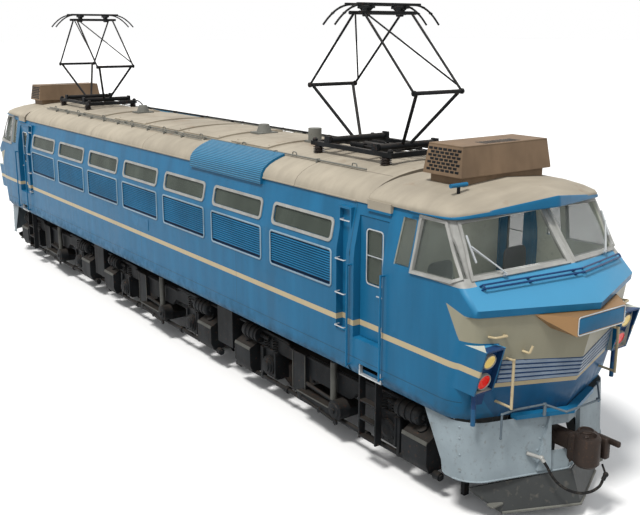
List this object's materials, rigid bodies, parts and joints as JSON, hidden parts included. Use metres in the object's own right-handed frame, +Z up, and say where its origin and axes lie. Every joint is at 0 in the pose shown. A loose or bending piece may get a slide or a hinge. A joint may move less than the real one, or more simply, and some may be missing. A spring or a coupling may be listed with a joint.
{
  "type": "electric locomotive",
  "caption": "Two-cab box-body electric locomotive with V-shaped noses, swivelling bogies, turning wheelsets, hinged cab doors and folding diamond pantographs.",
  "frame": {"origin": "midway between the ends and under the middle, at the tips of the wheel flanges", "axes": "+X along the locomotive towards the front cab, +Y to its left, +Z up"},
  "size_m": [18.518, 2.95, 5.98],
  "materials": {
    "aircon_paint": "brown paint",
    "body_paint": "satin blue paint",
    "bronze": "bronze coloured paint",
    "cast_black": "rough cast steel",
    "cream_paint": "satin cream paint",
    "glass": "clear glass",
    "grey_paint": "worn grey paint",
    "hose": "rubber hose",
    "interior": "grey-green paint",
    "lens": "lamp glass",
    "roof_paint": "matt beige paint",
    "running_black": "matt black paint, dusty",
    "seat_cloth": "dark cloth",
    "steel": "bare steel"
  },
  "bodies": {
    "carbody": {"machine_room_body": "body_paint", "machine_room_roof": "roof_paint", "roof_louvres": "body_paint", "window_frames": "cream_paint", "machine_room_windows": "glass", "side_grilles": "body_paint", "machinery": "grey_paint", "underframe": "running_black", "equipment_boxes": "running_black", "roof_ventilators": "grey_paint", "roof_fittings": "running_black", "front_cab_shell": "body_paint", "rear_cab_shell": "body_paint", "cab_roofs": "roof_paint", "cab_windows": "glass", "cab_desks": "interior", "driver_seats": "seat_cloth", "air_conditioners": "aircon_paint", "lamps": "lens", "number_boxes": "bronze", "end_handrails": "cream_paint", "side_handrails": "body_paint", "footplates": "body_paint", "step_ladders": "running_black", "skirts": "grey_paint", "couplers": "cast_black", "pilot_boards": "running_black", "brake_cocks": "cast_black", "front_brake_hose": "hose", "rear_brake_hose": "hose", "front_panto_base": "running_black", "rear_panto_base": "running_black"},
    "front_bogie": {"front_bogie_frame": "running_black", "front_bogie_motors": "cast_black"},
    "middle_bogie": {"middle_bogie_frame": "running_black", "middle_bogie_motors": "cast_black"},
    "rear_bogie": {"rear_bogie_frame": "running_black", "rear_bogie_motors": "cast_black"},
    "wheelset_1": {"wheelset_1": "steel"},
    "wheelset_2": {"wheelset_2": "steel"},
    "wheelset_3": {"wheelset_3": "steel"},
    "wheelset_4": {"wheelset_4": "steel"},
    "wheelset_5": {"wheelset_5": "steel"},
    "wheelset_6": {"wheelset_6": "steel"},
    "front_left_door": {"front_left_door": "body_paint"},
    "front_right_door": {"front_right_door": "body_paint"},
    "rear_left_door": {"rear_left_door": "body_paint"},
    "rear_right_door": {"rear_right_door": "body_paint"},
    "front_panto_front_lower_arm": {"front_panto_front_lower_arm": "running_black"},
    "front_panto_front_upper_arm": {"front_panto_front_upper_arm": "running_black"},
    "front_panto_rear_lower_arm": {"front_panto_rear_lower_arm": "running_black"},
    "front_panto_rear_upper_arm": {"front_panto_rear_upper_arm": "running_black"},
    "front_panto_head": {"front_panto_head": "running_black"},
    "rear_panto_front_lower_arm": {"rear_panto_front_lower_arm": "running_black"},
    "rear_panto_front_upper_arm": {"rear_panto_front_upper_arm": "running_black"},
    "rear_panto_rear_lower_arm": {"rear_panto_rear_lower_arm": "running_black"},
    "rear_panto_rear_upper_arm": {"rear_panto_rear_upper_arm": "running_black"},
    "rear_panto_head": {"rear_panto_head": "running_black"}
  },
  "joints": [
    {"name": "front_bogie_swivel", "type": "hinge", "parent": "carbody", "child": "front_bogie", "pos_m": [5.31, 0, 0.9], "axis": [0, 0, 1], "range_deg": [-3, 3]},
    {"name": "middle_bogie_swivel", "type": "hinge", "parent": "carbody", "child": "middle_bogie", "pos_m": [0, 0, 0.9], "axis": [0, 0, 1], "range_deg": [-1, 1]},
    {"name": "rear_bogie_swivel", "type": "hinge", "parent": "carbody", "child": "rear_bogie", "pos_m": [-5.31, 0, 0.9], "axis": [0, 0, 1], "range_deg": [-3, 3]},
    {"name": "wheelset_1_spin", "type": "hinge", "parent": "front_bogie", "child": "wheelset_1", "pos_m": [6.71, 0, 0.59], "axis": [0, 1, 0], "continuous": true},
    {"name": "wheelset_2_spin", "type": "hinge", "parent": "front_bogie", "child": "wheelset_2", "pos_m": [3.91, 0, 0.59], "axis": [0, 1, 0], "continuous": true},
    {"name": "wheelset_3_spin", "type": "hinge", "parent": "middle_bogie", "child": "wheelset_3", "pos_m": [1.4, 0, 0.59], "axis": [0, 1, 0], "continuous": true},
    {"name": "wheelset_4_spin", "type": "hinge", "parent": "middle_bogie", "child": "wheelset_4", "pos_m": [-1.4, 0, 0.59], "axis": [0, 1, 0], "continuous": true},
    {"name": "wheelset_5_spin", "type": "hinge", "parent": "rear_bogie", "child": "wheelset_5", "pos_m": [-3.91, 0, 0.59], "axis": [0, 1, 0], "continuous": true},
    {"name": "wheelset_6_spin", "type": "hinge", "parent": "rear_bogie", "child": "wheelset_6", "pos_m": [-6.71, 0, 0.59], "axis": [0, 1, 0], "continuous": true},
    {"name": "front_left_door_hinge", "type": "hinge", "parent": "carbody", "child": "front_left_door", "pos_m": [6.86, 1.253, 2.6], "axis": [0, 0, 1], "range_deg": [0, 85]},
    {"name": "front_right_door_hinge", "type": "hinge", "parent": "carbody", "child": "front_right_door", "pos_m": [6.86, -1.253, 2.6], "axis": [0, 0, -1], "range_deg": [0, 85]},
    {"name": "rear_left_door_hinge", "type": "hinge", "parent": "carbody", "child": "rear_left_door", "pos_m": [-6.86, 1.253, 2.6], "axis": [0, 0, -1], "range_deg": [0, 85]},
    {"name": "rear_right_door_hinge", "type": "hinge", "parent": "carbody", "child": "rear_right_door", "pos_m": [-6.86, -1.253, 2.6], "axis": [0, 0, 1], "range_deg": [0, 85]},
    {"name": "front_panto_front_lower_arm_fold", "type": "hinge", "parent": "carbody", "child": "front_panto_front_lower_arm", "pos_m": [5.663, 0, 4.095], "axis": [0, 1, 0], "range_deg": [0, 46]},
    {"name": "front_panto_front_upper_arm_fold", "type": "hinge", "parent": "front_panto_front_lower_arm", "child": "front_panto_front_upper_arm", "pos_m": [6.268, 0, 4.84], "axis": [0, 1, 0], "range_deg": [-73.8, 0]},
    {"name": "front_panto_rear_lower_arm_fold", "type": "hinge", "parent": "carbody", "child": "front_panto_rear_lower_arm", "pos_m": [4.603, 0, 4.095], "axis": [0, -1, 0], "range_deg": [0, 46]},
    {"name": "front_panto_rear_upper_arm_fold", "type": "hinge", "parent": "front_panto_rear_lower_arm", "child": "front_panto_rear_upper_arm", "pos_m": [3.998, 0, 4.84], "axis": [0, -1, 0], "range_deg": [-73.8, 0]},
    {"name": "front_panto_head_level", "type": "hinge", "parent": "front_panto_front_upper_arm", "child": "front_panto_head", "pos_m": [5.238, 0, 5.85], "axis": [0, 1, 0], "range_deg": [0, 27.8]},
    {"name": "rear_panto_front_lower_arm_fold", "type": "hinge", "parent": "carbody", "child": "rear_panto_front_lower_arm", "pos_m": [-4.603, 0, 4.095], "axis": [0, 1, 0], "range_deg": [0, 46]},
    {"name": "rear_panto_front_upper_arm_fold", "type": "hinge", "parent": "rear_panto_front_lower_arm", "child": "rear_panto_front_upper_arm", "pos_m": [-3.998, 0, 4.84], "axis": [0, 1, 0], "range_deg": [-73.8, 0]},
    {"name": "rear_panto_rear_lower_arm_fold", "type": "hinge", "parent": "carbody", "child": "rear_panto_rear_lower_arm", "pos_m": [-5.663, 0, 4.095], "axis": [0, -1, 0], "range_deg": [0, 46]},
    {"name": "rear_panto_rear_upper_arm_fold", "type": "hinge", "parent": "rear_panto_rear_lower_arm", "child": "rear_panto_rear_upper_arm", "pos_m": [-6.268, 0, 4.84], "axis": [0, -1, 0], "range_deg": [-73.8, 0]},
    {"name": "rear_panto_head_level", "type": "hinge", "parent": "rear_panto_front_upper_arm", "child": "rear_panto_head", "pos_m": [-5.028, 0, 5.85], "axis": [0, 1, 0], "range_deg": [0, 27.8]}
  ],
  "couplings": [
    {"joint": "front_panto_rear_lower_arm_fold", "follows": "front_panto_front_lower_arm_fold", "ratio": 1},
    {"joint": "front_panto_front_upper_arm_fold", "follows": "front_panto_front_lower_arm_fold", "ratio": -1.5936},
    {"joint": "front_panto_rear_upper_arm_fold", "follows": "front_panto_front_lower_arm_fold", "ratio": -1.5936},
    {"joint": "front_panto_head_level", "follows": "front_panto_front_lower_arm_fold", "ratio": 0.5936},
    {"joint": "rear_panto_rear_lower_arm_fold", "follows": "rear_panto_front_lower_arm_fold", "ratio": 1},
    {"joint": "rear_panto_front_upper_arm_fold", "follows": "rear_panto_front_lower_arm_fold", "ratio": -1.5936},
    {"joint": "rear_panto_rear_upper_arm_fold", "follows": "rear_panto_front_lower_arm_fold", "ratio": -1.5936},
    {"joint": "rear_panto_head_level", "follows": "rear_panto_front_lower_arm_fold", "ratio": 0.5936}
  ]
}
